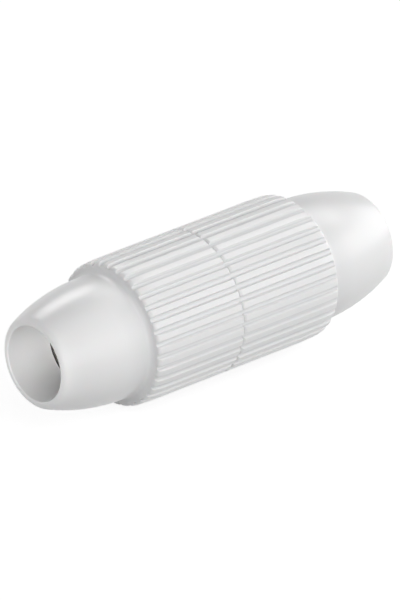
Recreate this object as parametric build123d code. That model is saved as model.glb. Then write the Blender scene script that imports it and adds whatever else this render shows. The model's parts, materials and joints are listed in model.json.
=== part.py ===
from build123d import *
import os
from math import cos, pi, radians, sin, sqrt

# Coaxial cable coupler: two moulded sleeves, screwed together over a screen tube
# that holds the braid clamps, the insulator and the terminal for the cable cores.
# Millimetres. X runs along the cables, +Z is up, and the origin is at mid length on the axis.

# Sleeves, outside
overall_length = 55.2
grip_length = 30.2  # ribbed middle, from shoulder to shoulder
grip_radius = 9.5  # over the rib crests
shoulder_step = 0.85  # hollow round from the shoulder down to the nose
rim_radius = 1.0  # outer rounding of the mouth's lip
rim_inner_radius = 0.2  # its tighter inner rounding
rim_slope = 21.9  # degrees; how steeply the nose runs into the lip
seam_place = -0.86  # where the two sleeves meet
seam_gap = 0.1

# Ribs of the grip
rib_count = 36
rib_height = 0.55
rib_crest_width = 0.83
rib_floor_width = 0.55  # floor of the groove between two ribs
rib_end_length = 0.7  # blunt rounded end of each rib at the shoulder
shoulder_drop = 0.05  # shoulder below the groove floors

# Short cones in each round stretch of a sleeve's section
rib_end_steps = 2
cove_steps = 2
nose_steps = 4
lip_steps = 3
inner_lip_steps = 2

# Sleeves, inside
entry_radius = 4.95  # mouth, for a 7 mm cable with room to lean
cavity_clearance = 0.25  # around the screen tube
end_clearance = 0.25  # past each end of the screen tube
spigot_wall = 1.0
spigot_length = 7.5
thread_room = 0.3  # between spigot and socket, taken up by the thread
thread_lead_in = 0.4  # chamfer on the spigot's tip and in the socket's mouth
socket_run_out = 0.5  # socket past the spigot's tip

# Screen tube
tube_length = 40.9
tube_radius = 6.2
tube_bore_radius = 4.3
collar_length = 9.95  # closed ring at each end; the top is open between them
trough_height = 1.8  # edges of the open trough above the axis

# Insulator and terminal for the cable cores
fit_clearance = 0.05  # between pieces that slide or seat in each other
insulator_length = 14.0
insulator_top = 3.2  # flat top above the axis
terminal_radius = 2.2
core_hole_radius = 0.7
core_hole_depth = 6.0

# Terminal screws
terminal_screw_inset = 4.4  # from the terminal's end
terminal_screw_radius = 1.0
terminal_screw_travel = 0.8
terminal_head_radius = 1.9
terminal_head_height = 1.2

# Braid clamps
clamp_inset = 5.45  # from the screen tube's end
clamp_plate_length = 7.0
clamp_plate_width = 4.8
clamp_plate_thickness = 0.6
clamp_screw_radius = 1.5

# Screwdriver slots
slot_width = 0.5
slot_depth = 0.6

cutter_margin = 1.0  # how far a cutter runs past what it cuts
upright = (Align.CENTER, Align.CENTER, Align.MIN)
seam_faces = {-1: -seam_place + seam_gap / 2, 1: seam_place + seam_gap / 2}
rib_root_radius = grip_radius - rib_height
cavity_radius = tube_radius + cavity_clearance
cavity_end = tube_length / 2 + end_clearance
spigot_radius = cavity_radius + spigot_wall
socket_radius = spigot_radius + thread_room
socket_depth = spigot_length + socket_run_out + seam_gap
clamp_place = tube_length / 2 - clamp_inset
terminal_screw_place = insulator_length / 2 - terminal_screw_inset


def rod(radius, length):
    """A cylinder along X, centred on the origin."""
    return Rot(Y=90) * Cylinder(radius, length)


def sleeve_section(side):
    """Half section of one sleeve: distance from mid length towards its mouth, then radius."""
    seam = seam_faces[side]
    shoulder = (grip_length / 2, rib_root_radius - shoulder_drop)
    crest_end = (grip_length / 2 - rib_end_length, grip_radius)
    nose_foot = (shoulder[0] + shoulder_step, shoulder[1] - shoulder_step)
    rim_place = overall_length / 2 - rim_radius
    rim_height = entry_radius + rim_inner_radius
    slope = radians(rim_slope)
    rim_start = (rim_place + rim_radius * sin(slope), rim_height + rim_radius * cos(slope))
    rim_tip = (rim_place + rim_radius, rim_height)
    mouth_start = (rim_tip[0] - rim_inner_radius, entry_radius)

    rib_end = TangentArc(crest_end, shoulder, tangent=(1, 0))
    cove = RadiusArc(shoulder, nose_foot, shoulder_step)
    nose = TangentArc(rim_start, nose_foot, tangent=(-cos(slope), sin(slope)))
    outer_lip = RadiusArc(rim_start, rim_tip, rim_radius)
    inner_lip = RadiusArc(rim_tip, mouth_start, rim_inner_radius)
    outside = [
        (seam, grip_radius),
        *stepped(rib_end, rib_end_steps),
        *stepped(cove, cove_steps)[1:],
        *stepped(nose, nose_steps)[-2::-1],
        *stepped(outer_lip, lip_steps)[1:],
        *stepped(inner_lip, inner_lip_steps)[1:],
    ]
    joint = socket_points(seam) if side < 0 else spigot_points(seam)
    inside = [(cavity_end, entry_radius), (cavity_end, cavity_radius), *joint]
    return make_face(Polyline(*outside, *inside, close=True))


def stepped(curve, steps):
    """Points along a round stretch, which is turned as a run of short cones."""
    return [curve @ (k / steps) for k in range(steps + 1)]


def socket_points(seam):
    """Wall of the left sleeve's threaded socket, from its floor out to the seam."""
    floor = seam + socket_depth
    return [
        (floor, cavity_radius),
        (floor, socket_radius),
        (seam + thread_lead_in, socket_radius),
        (seam, socket_radius + thread_lead_in),
    ]


def spigot_points(seam):
    """Wall of the right sleeve's threaded spigot, from its tip back to the seam."""
    tip = seam - spigot_length
    return [
        (tip, cavity_radius),
        (tip, spigot_radius - thread_lead_in),
        (tip + thread_lead_in, spigot_radius),
        (seam, spigot_radius),
    ]


def grooves(side):
    """Cutters for the straight grooves between the ribs, the first one straight up."""
    pitch_at_crest = 2 * pi * grip_radius / rib_count
    flank = (pitch_at_crest - rib_crest_width - rib_floor_width) / 2 / rib_height
    floor_half = rib_floor_width / 2
    top = rib_height + cutter_margin
    top_half = floor_half + flank * top
    section = Plane.YZ * Pos(0, rib_root_radius) * make_face(
        Polyline((-floor_half, 0), (floor_half, 0), (top_half, top), (-top_half, top), close=True)
    )
    start = seam_faces[side] - cutter_margin
    end = grip_length / 2 + cutter_margin
    cutter = Pos(start if side > 0 else -end, 0, 0) * extrude(section, end - start)
    return [Rot(X=k * 360 / rib_count) * cutter for k in range(rib_count)]


def sleeve(side):
    """One moulded sleeve; side is -1 for the left and 1 for the right."""
    turned = revolve(sleeve_section(side), Axis.X)
    if side < 0:
        turned = mirror(turned, Plane.YZ)
    return turned - grooves(side)


def screen_tube():
    """Turned tube with an open trough in the middle and a tapped collar at each end."""
    tube = rod(tube_radius, tube_length) - rod(tube_bore_radius, tube_length)
    window_length = tube_length - 2 * collar_length
    window_height = tube_radius + cutter_margin
    window = Box(window_length, 2 * window_height, window_height, align=upright)
    tube -= Pos(0, 0, trough_height) * window
    tapped_hole = Cylinder(clamp_screw_radius + fit_clearance, window_height, align=upright)
    return tube - [Pos(side * clamp_place, 0, 0) * tapped_hole for side in (-1, 1)]


def insulator():
    """Plug that carries the terminal in the tube's trough, with a flat top for the screws."""
    radius = tube_bore_radius - fit_clearance
    plug = rod(radius, insulator_length) - rod(terminal_radius + fit_clearance, insulator_length)
    plug -= Pos(0, 0, insulator_top) * Box(insulator_length, 2 * radius, radius, align=upright)
    return plug - terminal_screw_holes(insulator_top)


def terminal_screw_holes(top):
    """The two holes that the terminal screws pass through, from below their deepest tips."""
    floor = core_hole_radius - terminal_screw_travel
    height = top - floor + cutter_margin
    hole = Cylinder(terminal_screw_radius + fit_clearance, height, align=upright)
    return [Pos(side * terminal_screw_place, 0, floor) * hole for side in (-1, 1)]


def centre_terminal():
    """Brass barrel with a blind hole for a cable core at each end, and two tapped holes."""
    barrel = rod(terminal_radius, insulator_length)
    core_hole = rod(core_hole_radius, core_hole_depth)
    core_place = (insulator_length - core_hole_depth) / 2
    barrel -= [Pos(side * core_place, 0, 0) * core_hole for side in (-1, 1)]
    return barrel - terminal_screw_holes(terminal_radius)


def slotted(screw, top, radius):
    """Cut the screwdriver slot across a screw's top."""
    return screw - Pos(0, 0, top - slot_depth / 2) * Box(3 * radius, slot_width, slot_depth)


def terminal_screw(side):
    """Cheese-head screw, backed off so that its tip clears the core hole."""
    tip = core_hole_radius + fit_clearance
    head_base = insulator_top + terminal_screw_travel + fit_clearance
    head_top = head_base + terminal_head_height
    screw = Pos(0, 0, tip) * Cylinder(terminal_screw_radius, head_base - tip, align=upright)
    screw += Pos(0, 0, head_base) * Cylinder(terminal_head_radius, terminal_head_height, align=upright)
    return Pos(side * terminal_screw_place, 0, 0) * slotted(screw, head_top, terminal_head_radius)


def clamp_plate(side):
    """Saddle that hangs under the collar and presses on the cable's braid."""
    outer = tube_bore_radius - fit_clearance
    saddle = rod(outer, clamp_plate_length) - rod(outer - clamp_plate_thickness, clamp_plate_length)
    saddle &= Box(clamp_plate_length, clamp_plate_width, outer, align=upright)
    return Pos(side * clamp_place, 0, 0) * saddle


def clamp_screw(side):
    """Headless screw in the collar, resting on its saddle and flush with the tube's outside."""
    tip = tube_bore_radius
    top = sqrt(tube_radius**2 - clamp_screw_radius**2)
    screw = Pos(0, 0, tip) * Cylinder(clamp_screw_radius, top - tip, align=upright)
    return Pos(side * clamp_place, 0, 0) * slotted(screw, top, clamp_screw_radius)


nodes = {
    "left_sleeve": sleeve(-1),
    "right_sleeve": sleeve(1),
    "screen_tube": screen_tube(),
    "insulator": insulator(),
    "centre_terminal": centre_terminal(),
}
for name, side in (("left", -1), ("right", 1)):
    nodes[f"{name}_terminal_screw"] = terminal_screw(side)
    nodes[f"{name}_clamp_plate"] = clamp_plate(side)
    nodes[f"{name}_clamp_screw"] = clamp_screw(side)

os.makedirs("parts", exist_ok=True)
for name, solid in nodes.items():
    export_step(solid, f"parts/{name}.step")
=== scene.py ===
# %% [markdown]
# # A coaxial cable coupler
# Two white moulded sleeves screw together over a plated tube, in which the screens and cores of
# two aerial cables are joined. The CAD model already has every piece in its place, in metres, so
# this script only gives the pieces their finer shape and their finish, and sets up the picture.
# The first step loads that model and keeps its box. Its box is kept, because nothing made here
# may grow past it.

# %% Load the CAD frame
import json
from math import atan2, cos, pi, radians, sin

import bmesh
import bpy
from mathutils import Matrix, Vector


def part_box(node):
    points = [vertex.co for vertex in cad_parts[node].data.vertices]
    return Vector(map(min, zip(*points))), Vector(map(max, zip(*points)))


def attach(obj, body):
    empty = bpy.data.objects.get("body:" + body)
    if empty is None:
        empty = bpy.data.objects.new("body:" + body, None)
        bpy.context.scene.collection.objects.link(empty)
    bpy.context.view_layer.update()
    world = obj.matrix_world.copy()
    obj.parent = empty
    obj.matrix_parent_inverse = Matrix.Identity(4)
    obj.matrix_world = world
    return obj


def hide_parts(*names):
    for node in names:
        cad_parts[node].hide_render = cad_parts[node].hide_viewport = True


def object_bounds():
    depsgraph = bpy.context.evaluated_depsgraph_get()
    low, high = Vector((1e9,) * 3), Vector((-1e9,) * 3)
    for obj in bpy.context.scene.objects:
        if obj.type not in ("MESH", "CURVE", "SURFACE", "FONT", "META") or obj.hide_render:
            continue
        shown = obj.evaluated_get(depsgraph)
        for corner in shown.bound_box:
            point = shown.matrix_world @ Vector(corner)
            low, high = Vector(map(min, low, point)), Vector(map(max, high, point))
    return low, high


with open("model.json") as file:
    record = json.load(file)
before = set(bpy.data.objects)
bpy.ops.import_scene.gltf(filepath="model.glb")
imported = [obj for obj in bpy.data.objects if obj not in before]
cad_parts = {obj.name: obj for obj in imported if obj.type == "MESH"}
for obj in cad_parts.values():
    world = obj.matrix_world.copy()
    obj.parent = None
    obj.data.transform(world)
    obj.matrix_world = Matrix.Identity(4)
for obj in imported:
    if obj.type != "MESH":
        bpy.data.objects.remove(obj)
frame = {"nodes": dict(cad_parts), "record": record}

MM = 0.001
cad_box = [list(corner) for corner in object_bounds()]
print("CAD box, mm:", [[round(value / MM, 2) for value in corner] for corner in cad_box])

# %% [markdown]
# ## Looking at it as the photograph does
# The coupler lies on its side and is seen from its left end, a little from above. Its two ends
# look the same size and its ribs run parallel, as from a camera that stood far away with a very
# long lens. The height of the frame at the coupler is 75 mm, so the lens decides the distance. The
# camera looks straight at the middle of the coupler, so it needs no shift.

# %% Camera
view_azimuth = -41.7
view_elevation = 25.7
framed_height = 75 * MM
lens_mm = 1000
sensor_mm = 36


def towards(azimuth, elevation):
    """Unit vector from the coupler to a viewer at these angles; azimuth 0 is in front, at -Y."""
    turn = radians(azimuth)
    lift = radians(elevation)
    return Vector((sin(turn) * cos(lift), -cos(turn) * cos(lift), sin(lift)))


def aimed_at_coupler(name, data, azimuth, elevation, distance):
    """Link a camera or a lamp that stands at these angles and looks at the coupler's middle."""
    thing = bpy.data.objects.new(name, data)
    back = towards(azimuth, elevation)
    thing.location = back * distance
    thing.rotation_euler = back.to_track_quat("Z", "Y").to_euler()
    bpy.context.scene.collection.objects.link(thing)
    return thing


lens = bpy.data.cameras.new("camera")
lens.lens = lens_mm
lens.sensor_width = sensor_mm
camera_distance = framed_height * lens_mm / sensor_mm
lens.clip_end = 10 * camera_distance
camera = aimed_at_coupler("camera", lens, view_azimuth, view_elevation, camera_distance)
bpy.context.scene.camera = camera
print("camera stands", round(camera_distance, 3), "m away")

# %% [markdown]
# ## Node trees written as sums
# Materials and Geometry Nodes are both trees of small nodes. Linking them by hand takes many
# lines, so this class wraps one socket: adding or multiplying two wrapped sockets adds a Math
# node and gives back its output. Every other kind of node comes from the one method `add`, which
# sets the node's own settings first and then fills or links its sockets.

# %% A socket that Python can calculate with
class Flow:
    """One socket of a node tree; arithmetic on it adds Math nodes to the tree."""

    def __init__(self, tree, socket=None):
        self.tree = tree
        self.socket = socket

    def add(self, kind, settings=None, inputs=None, output=0):
        """Add a node with its settings or captures, then the values or links of its sockets."""
        node = self.tree.nodes.new(kind)
        for name, value in (settings or {}).items():
            if name == "captures":
                for capture_kind, label in value:
                    node.capture_items.new(capture_kind, label)
            else:
                setattr(node, name, value)
        for key, value in (inputs or {}).items():
            if isinstance(value, Flow):
                self.tree.links.new(value.socket, node.inputs[key])
            else:
                node.inputs[key].default_value = value
        return Flow(self.tree, node.outputs[output] if len(node.outputs) else None)

    def output(self, name):
        """Another output of the node that this socket belongs to."""
        return Flow(self.tree, self.socket.node.outputs[name])

    def math(self, operation, *values):
        """A Math node on sockets and numbers."""
        return self.add("ShaderNodeMath", {"operation": operation}, dict(enumerate(values)))

    def __add__(self, other):
        return self.math("ADD", self, other)

    def __radd__(self, other):
        return self.math("ADD", other, self)

    def __sub__(self, other):
        return self.math("SUBTRACT", self, other)

    def __rsub__(self, other):
        return self.math("SUBTRACT", other, self)

    def __mul__(self, other):
        return self.math("MULTIPLY", self, other)

    def __rmul__(self, other):
        return self.math("MULTIPLY", other, self)

    def __truediv__(self, other):
        return self.math("DIVIDE", self, other)

    def __rtruediv__(self, other):
        return self.math("DIVIDE", other, self)


print("operators ready on", Flow.__name__)

# %% [markdown]
# ## Starting a finish
# Every finish here is a Principled shader. What is the same all over the surface is set on the
# shader's own sockets. What changes over the surface comes from noise on Object coordinates, in
# millimetres, so the grain has its real size and turns with the piece.

# %% Helpers for finishes
def start_finish(name, constants):
    """A new material with its constant sockets set; also gives its shader and place in mm."""
    material = bpy.data.materials.new(name)
    material.use_nodes = True
    shader = material.node_tree.nodes["Principled BSDF"]
    for socket, value in constants.items():
        shader.inputs[socket].default_value = value
    metres = Flow(material.node_tree).add("ShaderNodeTexCoord", output="Object")
    place = metres.add("ShaderNodeVectorMath", {"operation": "SCALE"}, {0: metres, "Scale": 1 / MM})
    return material, shader, place


def feed(shader, flows):
    """Link flows to the shader's sockets, by the sockets' names."""
    for socket, flow in flows.items():
        flow.tree.links.new(flow.socket, shader.inputs[socket])


def noise(place, size, detail=2.0):
    """Soft noise from 0 to 1 with blotches of about this size in mm."""
    sockets = {"Vector": place, "Scale": 1 / size, "Detail": detail}
    return place.add("ShaderNodeTexNoise", {"noise_dimensions": "3D"}, sockets)


def stretched(place, factors):
    """The same place with each axis multiplied, which draws a pattern out or squeezes it."""
    return place.add("ShaderNodeVectorMath", {"operation": "MULTIPLY"}, {0: place, 1: factors})


def blend_colours(amount, first, second):
    """A colour between two, through a Mix node because Math nodes only know grey."""
    settings = {"data_type": "RGBA"}
    return amount.add("ShaderNodeMix", settings, {0: amount, 6: first, 7: second}, output=2)


def bump(height, depth_mm):
    """A normal that is tilted, at half strength, as if the height map were this deep."""
    sockets = {"Strength": 0.5, "Distance": depth_mm * MM, "Height": height}
    return height.add("ShaderNodeBump", None, sockets)


print("finish helpers ready")

# %% [markdown]
# ## The white plastic of the sleeves
# The sleeves are moulded in white plastic with a satin gloss. Up close such a moulding is never
# quite even: the melt leaves faint cloudy drifts, and the polished mould leaves a very fine grain
# that blurs the highlights a little. The drifts tint the colour, and the grain drives roughness
# and a shallow bump.
#
# In the grooves between the ribs the plastic is made rougher, and its colour is darkened there as
# painted shade, so the grooves look duller and greyer than the crests. The distance from the axis
# tells where that is: just below the crests, down to the foot of the shoulder.

# %% White moulded plastic
def ramp(value, start, end):
    """A smooth step from 0 at start to 1 at end."""
    sockets = {"Value": value, "From Min": start, "From Max": end}
    return value.add("ShaderNodeMapRange", {"interpolation_type": "SMOOTHSTEP"}, sockets)


def make_white_plastic():
    """Satin white plastic with faint drifts, a fine mould grain, and painted shade and more roughness
    in the grooves.
    """
    constants = {"IOR": 1.5, "Subsurface Weight": 0.06, "Subsurface Scale": 0.6 * MM}
    material, shader, place = start_finish("white_plastic", constants)
    drift = noise(stretched(place, (0.4, 1, 1)), 6.0, 3.0)
    grain = noise(place, 0.12)
    patches = noise(place, 1.6)
    across = stretched(place, (0, 1, 1))
    radius = place.add("ShaderNodeVectorMath", {"operation": "LENGTH"}, {0: across}, output="Value")
    below_crests = ramp(radius, 9.36, 9.0)
    above_noses = ramp(radius, 7.95, 8.3)
    groove_shade_and_matte = below_crests * above_noses
    white = (0.88, 0.88, 0.88, 1)
    greyer = (0.86, 0.86, 0.862, 1)
    # Painted shade: the base colour is darker in the grooves between the ribs, where shade falls.
    painted_groove_shade = (0.765, 0.765, 0.77, 1)
    crests = blend_colours(drift, white, greyer)
    feed(shader, {
        "Base Color": blend_colours(groove_shade_and_matte, crests, painted_groove_shade),
        "Roughness": 0.25 + 0.05 * patches + 0.05 * grain + 0.15 * groove_shade_and_matte,
        "Normal": bump(grain, 0.0015),
    })
    return material


white_plastic = make_white_plastic()
print("made", white_plastic.name)

# %% [markdown]
# ## The ribbed sleeves
# Each sleeve is one moulding: a bulged nose with a rolled lip, a hollow round up to the shoulder,
# and a grip of 36 straight ribs with rounded ends. It could be modelled by cutting grooves out of
# a turned shape, as the CAD does, but then every edge is knife sharp. Here the shape follows a
# rule instead: a half section is carried round the axis, and the radius of each point is held
# down to the groove where a groove passes. A smooth minimum in place of a plain one rounds the
# edges of all ribs at once.
#
# First the half section is drawn, as distance towards the mouth and radius in millimetres. Its
# round stretches are arcs that leave one point in a known direction and arrive at the next. One
# more point just past the rounded edge at the seam supports that edge: without it, smooth shading
# would carry the edge's tilt far along the straight ribs.

# %% Half section of a sleeve
overall_length = 55.2
grip_length = 30.2
grip_radius = 9.5
rib_height = 0.55
rib_end_length = 0.55
rib_end_drop = 0.1
crown_length = 2.6
shoulder_drop = 0.05
shoulder_step = 0.85
rim_radius = 1.0
rim_inner_radius = 0.2
rim_slope = radians(21.9)
entry_radius = 4.95
cavity_radius = 6.45
cavity_end = 20.7
seam_edge_run = 0.3
seam_edge_drop = 0.45
edge_support = 0.12
rib_root_radius = grip_radius - rib_height

edge_steps = 6
crown_steps = 6
rib_end_steps = 10
cove_steps = 8
nose_steps = 32
lip_steps = 8


def arc(start, heading, end, steps):
    """Points on the arc that leaves start along heading and arrives at end."""
    start = Vector(start)
    heading = Vector(heading).normalized()
    chord = Vector(end) - start
    bend = atan2(heading.cross(chord), heading.dot(chord))
    points = []
    for k in range(steps + 1):
        share = bend * k / steps
        reach = chord.length * sin(share) / sin(bend)
        along = Vector((
            heading.x * cos(share) - heading.y * sin(share),
            heading.x * sin(share) + heading.y * cos(share),
        ))
        points.append(tuple(start + along * reach))
    return points


def outside_points(seam):
    """Outside of a sleeve from the seam over rib, shoulder, nose and lip into the mouth."""
    edge_foot = (seam, grip_radius - seam_edge_drop)
    edge_top = (seam + seam_edge_run, grip_radius)
    shoulder = (grip_length / 2, rib_root_radius - shoulder_drop)
    crown_end = (grip_length / 2 - rib_end_length, grip_radius - rib_end_drop)
    crown_start = (crown_end[0] - crown_length, grip_radius)
    crown_slope = 2 * atan2(rib_end_drop, crown_length)
    nose_foot = (shoulder[0] + shoulder_step, shoulder[1] - shoulder_step)
    rim_place = overall_length / 2 - rim_radius
    rim_height = entry_radius + rim_inner_radius
    downhill = (cos(rim_slope), -sin(rim_slope))
    uphill = (-cos(rim_slope), sin(rim_slope))
    rim_start = (rim_place + rim_radius * sin(rim_slope), rim_height + rim_radius * cos(rim_slope))
    rim_tip = (rim_place + rim_radius, rim_height)
    mouth_start = (rim_tip[0] - rim_inner_radius, entry_radius)
    return [
        *arc(edge_foot, (0, 1), edge_top, edge_steps),
        (edge_top[0] + edge_support, grip_radius),
        *arc(crown_start, (1, 0), crown_end, crown_steps),
        *arc(crown_end, (cos(crown_slope), -sin(crown_slope)), shoulder, rib_end_steps)[1:],
        *arc(shoulder, (0, -1), nose_foot, cove_steps)[1:],
        *arc(rim_start, uphill, nose_foot, nose_steps)[-2::-1],
        *arc(rim_start, downhill, rim_tip, lip_steps)[1:],
        *arc(rim_tip, (0, -1), mouth_start, lip_steps)[1:],
    ]


print("outside has", len(outside_points(0)), "points")

# %% [markdown]
# ## The screw thread between the sleeves
# The right sleeve carries a spigot with a coarse double thread, and the left one a socket with the
# matching thread inside. The CAD leaves room for it between a plain spigot and a plain socket. The
# section gets many rows there, and a third number on each point says how much of the thread shows,
# so that it fades in and out at both ends as a moulded thread does.

# %% Socket, spigot and closed sections
seam_faces = {"left": 0.87, "right": -0.85}
spigot_length = 7.5
spigot_radius = 7.45
socket_radius = 7.75
socket_depth = 8.1
thread_lead_in = 0.4
thread_fade = 1.0
thread_row_step = 0.14


def threaded_rows(start, end, radius):
    """Rows along a threaded wall, each with its share of the thread's height."""
    count = round(abs(end - start) / thread_row_step)
    rows = []
    for k in range(count + 1):
        from_end = min(k, count - k) * thread_row_step
        rows.append((start + (end - start) * k / count, radius, min(1, from_end / thread_fade)))
    return rows


def socket_rows(seam):
    """Left sleeve's socket, from its floor out to the seam."""
    floor = seam + socket_depth
    return [
        (floor, cavity_radius, 0),
        *threaded_rows(floor, seam + thread_lead_in, socket_radius),
        (seam, socket_radius + thread_lead_in, 0),
    ]


def spigot_rows(seam):
    """Right sleeve's spigot, from its tip back to the seam."""
    tip = seam - spigot_length
    return [
        (tip, cavity_radius, 0),
        (tip, spigot_radius - thread_lead_in, 0),
        *threaded_rows(tip + thread_lead_in, seam, spigot_radius),
    ]


def sleeve_section(side):
    """Closed half section as a ring of edges; X is the place along the axis, Y the radius."""
    seam = seam_faces[side]
    joint = socket_rows(seam) if side == "left" else spigot_rows(seam)
    points = [(place, radius, 0) for place, radius in outside_points(seam)]
    points += [(cavity_end, entry_radius, 0), (cavity_end, cavity_radius, 0), *joint]
    way = -1 if side == "left" else 1
    section = bpy.data.meshes.new(f"{side}_sleeve_section")
    corners = [(way * place * MM, radius * MM, thread) for place, radius, thread in points]
    edges = [(k, (k + 1) % len(corners)) for k in range(len(corners))]
    section.from_pydata(corners, edges, [])
    return section


sections = {side: sleeve_section(side) for side in seam_faces}
print("section points:", {side: len(mesh.vertices) for side, mesh in sections.items()})

# %% [markdown]
# ## The rule that turns a section into a sleeve
# The tree takes the section as a curve and carries it round a circle with Curve to Mesh, which
# makes one closed skin. Then it puts every point in its place by the rule: how far round it is, in
# ribs, gives its distance from the nearest groove, and that gives the radius it may reach. The
# columns are bunched near the rib flanks, where the shape turns fastest, by adding two sine waves
# to their spacing. The thread is a second rule on top: a ridge wherever place along the axis and
# angle are in step. Its foot and top are given as shares of the distance between two ridges.

# %% Geometry Nodes tree for the sleeves
def new_tree(name, inputs):
    """A Geometry Nodes tree with named inputs; gives the tree and its input node's first socket."""
    tree = bpy.data.node_groups.new(name, "GeometryNodeTree")
    tree.interface.new_socket("Geometry", in_out="INPUT", socket_type="NodeSocketGeometry")
    for label, kind in inputs.items():
        tree.interface.new_socket(label, in_out="INPUT", socket_type=f"NodeSocket{kind}")
    tree.interface.new_socket("Geometry", in_out="OUTPUT", socket_type="NodeSocketGeometry")
    return tree, Flow(tree).add("NodeGroupInput")


def end_tree(shape, material):
    """Smooth shading with crisp corners, then Realize Instances and Set Material at the end."""
    corner_angle = radians(38)
    smooth = shape.add("GeometryNodeSetShadeSmooth", {"domain": "FACE"}, {"Geometry": shape})
    turn = shape.add("GeometryNodeInputMeshEdgeAngle")
    crisp = shape.add("GeometryNodeSetShadeSmooth", {"domain": "EDGE"}, {
        "Geometry": smooth,
        "Selection": turn.math("GREATER_THAN", turn, corner_angle),
        "Shade Smooth": False,
    })
    real = shape.add("GeometryNodeRealizeInstances", None, {"Geometry": crisp})
    done = shape.add("GeometryNodeSetMaterial", None, {"Geometry": real, "Material": material})
    shape.add("NodeGroupOutput", None, {"Geometry": done})


flank_bunching = 0.75
crest_shift = 0.2
ridge_foot = 0.24
ridge_top = 0.12


def make_sleeve_tree():
    """Carry a section round the X axis, with ribs outside and a thread where the section asks."""
    tree, given = new_tree("ribbed_sleeve", {
        "Rib Count": "Int",
        "Columns per Rib": "Int",
        "Crest Radius": "Float",
        "Root Radius": "Float",
        "Floor Width": "Float",
        "Flank Run": "Float",
        "Rounding": "Float",
        "Turn": "Float",
        "Thread Height": "Float",
        "Thread Lead": "Float",
        "Thread Starts": "Int",
        "Thread Shift": "Float",
        "Material": "Material",
    })
    count = given.output("Rib Count")
    columns = given.output("Columns per Rib")
    line = given.add("GeometryNodeMeshToCurve", None, {"Mesh": given})
    section = given.add("GeometryNodeCaptureAttribute", {"captures": [("VECTOR", "Point")]}, {
        0: line,
        1: given.add("GeometryNodeInputPosition"),
    })
    circle = given.add("GeometryNodeCurvePrimitiveCircle", None, {"Resolution": count * columns})
    ring = given.add("GeometryNodeCaptureAttribute", {"captures": [("FLOAT", "Column")]}, {
        0: circle,
        1: given.add("GeometryNodeInputIndex"),
    })
    skin = given.add("GeometryNodeCurveToMesh", None, {"Curve": ring, "Profile Curve": section})

    along = given.add("ShaderNodeSeparateXYZ", None, {0: section.output("Point")})
    radius = along.output("Y")
    thread_share = along.output("Z")

    ribs_round = ring.output("Column") / columns
    share = ribs_round.math("FRACT", ribs_round)
    bunching = flank_bunching / (4 * pi) * share.math("SINE", share * (4 * pi))
    shifting = crest_shift / (2 * pi) * share.math("SINE", share * (2 * pi))
    spaced = share + bunching - shifting
    angle = (ribs_round - share + spaced) * (2 * pi) / count + given.output("Turn")

    pitch = given.output("Crest Radius") * (2 * pi) / count
    from_groove = spaced.math("MINIMUM", spaced, 1 - spaced) * pitch
    climb = (from_groove - given.output("Floor Width") / 2) / given.output("Flank Run")
    rounding = given.output("Rounding")
    groove = given.output("Root Radius") + climb.math("SMOOTH_MAX", climb, 0, rounding)
    ribbed = radius.math("SMOOTH_MIN", radius, groove, rounding)

    in_step = (along / given.output("Thread Lead") - angle / (2 * pi)) * given.output("Thread Starts")
    phase = in_step.math("FRACT", in_step + given.output("Thread Shift"))
    from_ridge = phase.math("ABSOLUTE", phase - 0.5)
    ridge = ramp(from_ridge, ridge_foot, ridge_top)
    reach = ribbed + thread_share * given.output("Thread Height") * ridge

    place = given.add("ShaderNodeCombineXYZ", None, {
        0: along,
        1: reach * angle.math("COSINE", angle),
        2: reach * angle.math("SINE", angle),
    })
    shaped = given.add("GeometryNodeSetPosition", None, {"Geometry": skin, "Position": place})
    end_tree(shaped, given.output("Material"))
    return tree


sleeve_tree = make_sleeve_tree()
print("sleeve tree has", len(sleeve_tree.nodes), "nodes")

# %% [markdown]
# ## Running the tree
# A modifier runs the tree on the section. Its inputs are set by the sockets' identifiers, which
# stay the same when a name repeats. The result is then kept as a plain mesh, the modifier goes,
# and the faces are turned outwards, since a mirrored section comes out inside out.
#
# The grooves of the two sleeves do not quite line up across the seam of the real one, because the
# thread stops where it is tight. A small turn of each sleeve shows that.

# %% The two sleeves
def link_mesh(name, mesh):
    """A new object at the origin with this mesh."""
    piece = bpy.data.objects.new(name, mesh)
    bpy.context.scene.collection.objects.link(piece)
    return piece


def keep_evaluated(piece):
    """Replace a piece's mesh with its evaluated one, without modifiers and facing outwards."""
    graph = bpy.context.evaluated_depsgraph_get()
    mesh = bpy.data.meshes.new_from_object(piece.evaluated_get(graph))
    piece.modifiers.clear()
    piece.data = mesh
    mesh.name = piece.name
    shape = bmesh.new()
    shape.from_mesh(mesh)
    bmesh.ops.recalc_face_normals(shape, faces=shape.faces)
    shape.to_mesh(mesh)
    shape.free()
    return piece


def grow(name, seed, tree, values):
    """Run a tree on a seed mesh with these input values, and keep the result as a plain mesh."""
    piece = link_mesh(name, seed)
    modifier = piece.modifiers.new(tree.name, "NODES")
    modifier.node_group = tree
    for item in tree.interface.items_tree:
        if item.in_out == "INPUT" and item.name in values:
            modifier[item.identifier] = values[item.name]
    return keep_evaluated(piece)


def triangles(piece):
    """How many triangles a piece's mesh has."""
    return sum(len(face.vertices) - 2 for face in piece.data.polygons)


rib_count = 36
rib_crest_width = 0.83
rib_floor_width = 0.55
rib_pitch = 2 * pi * grip_radius / rib_count
sleeve_values = {
    "Rib Count": rib_count,
    "Columns per Rib": 14,
    "Crest Radius": grip_radius * MM,
    "Root Radius": rib_root_radius * MM,
    "Floor Width": rib_floor_width * MM,
    "Flank Run": (rib_pitch - rib_crest_width - rib_floor_width) / 2 / rib_height,
    "Rounding": 0.18 * MM,
    "Thread Lead": 3.0 * MM,
    "Thread Starts": 2,
    "Material": white_plastic,
}
rib_turns = {"left": radians(-1.2), "right": radians(-1.7)}
thread_height = 0.25 * MM

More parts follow.
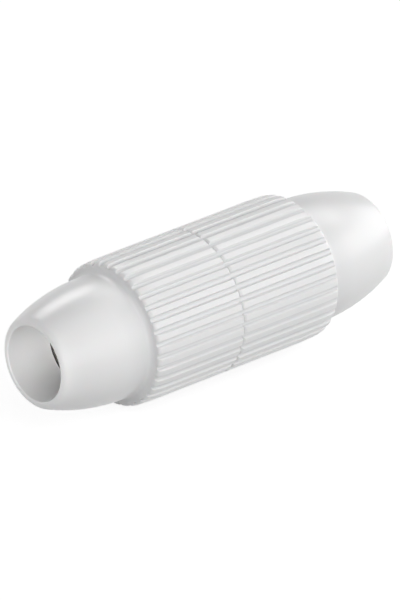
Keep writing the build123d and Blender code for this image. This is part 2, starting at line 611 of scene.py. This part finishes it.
sleeves = {}
for side, section in sections.items():
    inward = side == "left"
    values = {
        **sleeve_values,
        "Turn": rib_turns[side],
        "Thread Height": -thread_height if inward else thread_height,
        "Thread Shift": 0.5 if inward else 0.0,
    }
    sleeve = grow(f"{side}_sleeve_moulding", section, sleeve_tree, values)
    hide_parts(f"{side}_sleeve")
    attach(sleeve, f"{side}_sleeve")
    sleeves[side] = sleeve
print("sleeve triangles:", {side: triangles(piece) for side, piece in sleeves.items()})

# %% [markdown]
# ## Metal and insulator inside
# Through the mouth a sliver of the plated tube shows, and when the sleeves are unscrewed the whole
# inside does. The tube and the brass terminal are turned on a lathe, which leaves fine rings round
# the axis. The saddles have the tube's plating, and on them the same lines run across. The screws
# have a dull zinc coat, and the insulator is a milky plastic with no shine to speak of.

# %% Turned, plated and moulded finishes
def make_turned_metal(name, bright, dull, ring_size, roughness):
    """Metal turned along X: rings round the axis, with stains that dull it in patches."""
    material, shader, place = start_finish(name, {"Metallic": 1.0})
    rings = noise(stretched(place, (1, 0.02, 0.02)), ring_size)
    stains = noise(place, 2.2, 3.0)
    feed(shader, {
        "Base Color": blend_colours(stains, bright, dull),
        "Roughness": roughness + 0.12 * rings + 0.14 * stains,
        "Normal": bump(rings, 0.012),
    })
    return material


def make_zinc_screw():
    """Zinc-plated steel: a fine crystalline coat with darker specks."""
    material, shader, place = start_finish("zinc_screw", {"Metallic": 1.0})
    coat = noise(place, 0.16, 3.0)
    specks = noise(place, 0.7)
    feed(shader, {
        "Base Color": blend_colours(specks, (0.7, 0.7, 0.71, 1), (0.56, 0.56, 0.58, 1)),
        "Roughness": 0.28 + 0.2 * coat,
        "Normal": bump(coat, 0.006),
    })
    return material


def make_milky_insulator():
    """Natural plastic that lets light in a little way, with faint swirls."""
    constants = {"Subsurface Weight": 0.25, "Subsurface Scale": 1.2 * MM}
    material, shader, place = start_finish("milky_insulator", constants)
    swirls = noise(stretched(place, (0.5, 1, 1)), 2.4, 4.0)
    grain = noise(place, 0.15)
    feed(shader, {
        "Base Color": blend_colours(swirls, (0.84, 0.82, 0.76, 1), (0.77, 0.74, 0.66, 1)),
        "Roughness": 0.42 + 0.16 * grain,
        "Normal": bump(grain, 0.006),
    })
    return material


nickel = {"bright": (0.74, 0.72, 0.68, 1), "dull": (0.6, 0.58, 0.55, 1)}
brass = {"bright": (0.82, 0.65, 0.34, 1), "dull": (0.68, 0.5, 0.24, 1)}
finishes = {
    "plated_metal": make_turned_metal("nickel_plate", **nickel, ring_size=0.12, roughness=0.22),
    "terminal_brass": make_turned_metal("turned_brass", **brass, ring_size=0.1, roughness=0.2),
    "screw_steel": make_zinc_screw(),
    "insulator_plastic": make_milky_insulator(),
}
print("finishes:", [material.name for material in finishes.values()])

# %% [markdown]
# ## Breaking the sharp edges
# The inner pieces have the right form in CAD, but their edges are perfectly sharp, and real turned
# or stamped edges are broken and catch the light. A copy of each mesh is merged, its flat faces are
# joined, and a Bevel modifier rounds only the edges that turn sharply. The copy stands for its node.

# %% Inner pieces with broken edges
same_point = 0.0005 * MM
flat_turn = radians(0.5)
sharp_turn = radians(35)
crisp_turn = radians(32)


def break_edges(node, width):
    """A copy of a CAD node with its sharp edges rounded to this width in mm."""
    mesh = frame["nodes"][node].data.copy()
    shape = bmesh.new()
    shape.from_mesh(mesh)
    bmesh.ops.remove_doubles(shape, verts=shape.verts, dist=same_point)
    bmesh.ops.dissolve_limit(shape, angle_limit=flat_turn, verts=shape.verts, edges=shape.edges)
    shape.to_mesh(mesh)
    shape.free()
    mesh.materials.clear()
    piece = link_mesh(f"{node}_finished", mesh)
    modifier = piece.modifiers.new("broken_edges", "BEVEL")
    modifier.width = width * MM
    modifier.segments = 2
    modifier.limit_method = "ANGLE"
    modifier.angle_limit = sharp_turn
    return keep_evaluated(piece)


record = frame["record"]
slots = {row["node"]: row["material_slot"] for row in record["subparts"]}
bodies = {node: body for body, nodes in record["behaviour"]["bodies"].items() for node in nodes}
edge_widths = {
    "screen_tube": 0.1,
    "insulator": 0.08,
    "centre_terminal": 0.06,
    "left_terminal_screw": 0.06,
    "right_terminal_screw": 0.06,
    "left_clamp_plate": 0.06,
    "right_clamp_plate": 0.06,
    "left_clamp_screw": 0.05,
    "right_clamp_screw": 0.05,
}
for node, width in edge_widths.items():
    piece = break_edges(node, width)
    piece.data.materials.append(finishes[slots[node]])
    piece.data.shade_smooth()
    piece.data.set_sharp_from_angle(angle=crisp_turn)
    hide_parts(node)
    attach(piece, bodies[node])
    print(piece.name, triangles(piece), "triangles")

# %% [markdown]
# ## Fine teeth on the tube's ends
# Deep in the mouth the photograph shows a sliver of metal with a fine hatch across it, as teeth on
# the end of the tube would give. A bump would only shade them, so each tooth is a small bar with
# three sides. The tree sets out points round both ends and puts one bar on every point, turned so
# that it lies along the radius and shows an edge to the mouth.

# %% End teeth
def make_teeth_tree():
    """Bars along the radius, set round both ends of a tube that lies along X."""
    tree, given = new_tree("end_teeth", {
        "Count": "Int",
        "Inner Radius": "Float",
        "Outer Radius": "Float",
        "Height": "Float",
        "Tube End": "Float",
        "Material": "Material",
    })
    count = given.output("Count")
    inner = given.output("Inner Radius")
    outer = given.output("Outer Radius")
    index = given.add("GeometryNodeInputIndex")
    far_end = index.math("FLOOR", index / count)
    way = 1 - 2 * far_end
    angle = (index + 0.5) * (2 * pi) / count
    middle = (inner + outer) / 2
    spot = given.add("ShaderNodeCombineXYZ", None, {
        0: way * given.output("Tube End"),
        1: way * middle * angle.math("COSINE", angle),
        2: middle * angle.math("SINE", angle),
    })
    points = given.add("GeometryNodePoints", None, {"Count": 2 * count, "Position": spot})
    bar = given.add("GeometryNodeMeshCylinder", None, {
        "Vertices": 3,
        "Radius": given.output("Height"),
        "Depth": outer - inner,
    })
    euler = given.add("ShaderNodeCombineXYZ", None, {0: angle - pi / 2, 2: far_end * pi})
    turned = given.add("FunctionNodeEulerToRotation", None, {0: euler})
    teeth = given.add("GeometryNodeInstanceOnPoints", None, {
        "Points": points,
        "Instance": bar,
        "Rotation": turned,
    })
    end_tree(teeth, given.output("Material"))
    return tree


teeth = grow("end_teeth", bpy.data.meshes.new("end_teeth"), make_teeth_tree(), {
    "Count": 96,
    "Inner Radius": 4.42 * MM,
    "Outer Radius": 6.0 * MM,
    "Height": 0.12 * MM,
    "Tube End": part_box("screen_tube")[1][0],
    "Material": finishes["plated_metal"],
})
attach(teeth, "inner_unit")
print(teeth.name, triangles(teeth), "triangles")

# %% [markdown]
# ## Floor and background
# The photograph has a plain white ground. The floor carries the coupler at its lowest ribs, and the
# white comes from Light Path: rays from the camera, and those that mirror or pass through, meet a
# floor and a world of full white, while the light that falls on the coupler stays at a plain level.
# Part of the floor's white is still lit by the lamps, so the coupler keeps its shadow. The light that
# the floor scatters on to the coupler comes from a middling grey, so the underside stays in shade.

# %% Stage
floor_half = 2.0
floor_level = cad_box[0][2]
scattering_grey = (0.45, 0.45, 0.45, 1)
shadow_grey = (0.32, 0.32, 0.32, 1)
glow_strength = 0.84
ambient_level = 0.1
pure_white = (1, 1, 1, 1)


def seen_directly(flow):
    """1 for camera, mirror and see-through rays, 0 for light that is scattered on."""
    path = flow.add("ShaderNodeLightPath")
    mirrored = path.math("MAXIMUM", path.output("Is Glossy Ray"), path.output("Is Transmission Ray"))
    return path.math("MAXIMUM", path.output("Is Camera Ray"), mirrored)


def make_floor_white():
    """Floor that looks white where it is lit, keeps a soft shadow and scatters as a grey one."""
    material = bpy.data.materials.new("floor_white")
    material.use_nodes = True
    tree = material.node_tree
    tree.nodes.clear()
    flow = Flow(tree)
    scattering = flow.add("ShaderNodeBsdfDiffuse", None, {"Color": scattering_grey})
    shadow = flow.add("ShaderNodeBsdfDiffuse", None, {"Color": shadow_grey})
    glow = flow.add("ShaderNodeEmission", None, {"Color": pure_white, "Strength": glow_strength})
    shown = flow.add("ShaderNodeAddShader", None, {0: shadow, 1: glow})
    floor = flow.add("ShaderNodeMixShader", None, {0: seen_directly(flow), 1: scattering, 2: shown})
    flow.add("ShaderNodeOutputMaterial", None, {"Surface": floor})
    return material


floor_mesh = bpy.data.meshes.new("floor")
floor_signs = [(-1, -1), (1, -1), (1, 1), (-1, 1)]
floor_corners = [(x * floor_half, y * floor_half, floor_level) for x, y in floor_signs]
floor_mesh.from_pydata(floor_corners, [], [(0, 1, 2, 3)])
floor_mesh.materials.append(make_floor_white())
link_mesh("floor", floor_mesh)

world = bpy.data.worlds.new("studio")
bpy.context.scene.world = world
world.use_nodes = True
world.node_tree.nodes.clear()
sky = Flow(world.node_tree)
level = ambient_level + (1 - ambient_level) * seen_directly(sky)
room = sky.add("ShaderNodeBackground", None, {"Color": pure_white, "Strength": level})
sky.add("ShaderNodeOutputWorld", None, {"Surface": room})
print("floor at", round(floor_level / MM, 3), "mm")

# %% [markdown]
# ## Studio light
# A white thing on white ground is drawn only by soft differences of light. Large panels in front,
# above and at both sides reach the crests of the ribs from many directions and the grooves from
# fewer, so the grooves come out a little greyer, and the limbs that turn away from the panels do
# too. The mouth would stay dark, so a snoot, a lamp with a very narrow beam, shines into it and
# misses the nose around it. Two smaller boxes above and behind are seen only as highlights: a long
# one along the upper ribs, and a small one as the stripe on the left nose. A low panel behind, which
# gives light but no highlight, and an even level from the room keep the far side white too.

# %% Lamps
def softbox(name, azimuth, elevation, distance, size, watts):
    """A rectangular area lamp, sizes in metres, that the camera itself doesn't see."""
    lamp = bpy.data.lights.new(name, "AREA")
    lamp.shape = "RECTANGLE"
    lamp.size, lamp.size_y = size
    lamp.energy = watts
    box = aimed_at_coupler(name, lamp, azimuth, elevation, distance)
    box.visible_camera = False
    return box


panel_distance = 0.5
standing = (0.6, 0.28)
softbox("high_panel", 0, 55, panel_distance, (0.6, 0.5), 0.75)
softbox("front_panel", 0, 17, panel_distance, standing, 0.78)
softbox("left_panel", -62, 17, panel_distance, standing, 0.8)
softbox("right_panel", 74, 17, panel_distance, standing, 1.4)
back_panel = softbox("back_panel", 180, 9, panel_distance, (0.6, 0.15), 1.3)
back_panel.visible_glossy = False

snoot = bpy.data.lights.new("mouth_snoot", "SPOT")
snoot.energy = 5.5
snoot.spot_size = radians(1.3)
snoot.spot_blend = 1.0
snoot.shadow_soft_size = 0.002
beam = aimed_at_coupler("mouth_snoot", snoot, -52, 3, panel_distance)
left_mouth = cad_box[0][0]
beam.location.x += left_mouth

shine_distance = 0.45
for name, azimuth, elevation, size, watts in (
    ("rib_shine", 104, 50, (0.32, 0.14), 0.55),
    ("nose_shine", 156, 45, (0.2, 0.16), 0.65),
):
    shine = softbox(name, azimuth, elevation, shine_distance, size, watts)
    shine.visible_diffuse = False

# %% [markdown]
# ## The view
# The picture is shown with the Standard view, so a colour looks as it was written.

# %% Finish
bpy.context.scene.view_settings.view_transform = "Standard"
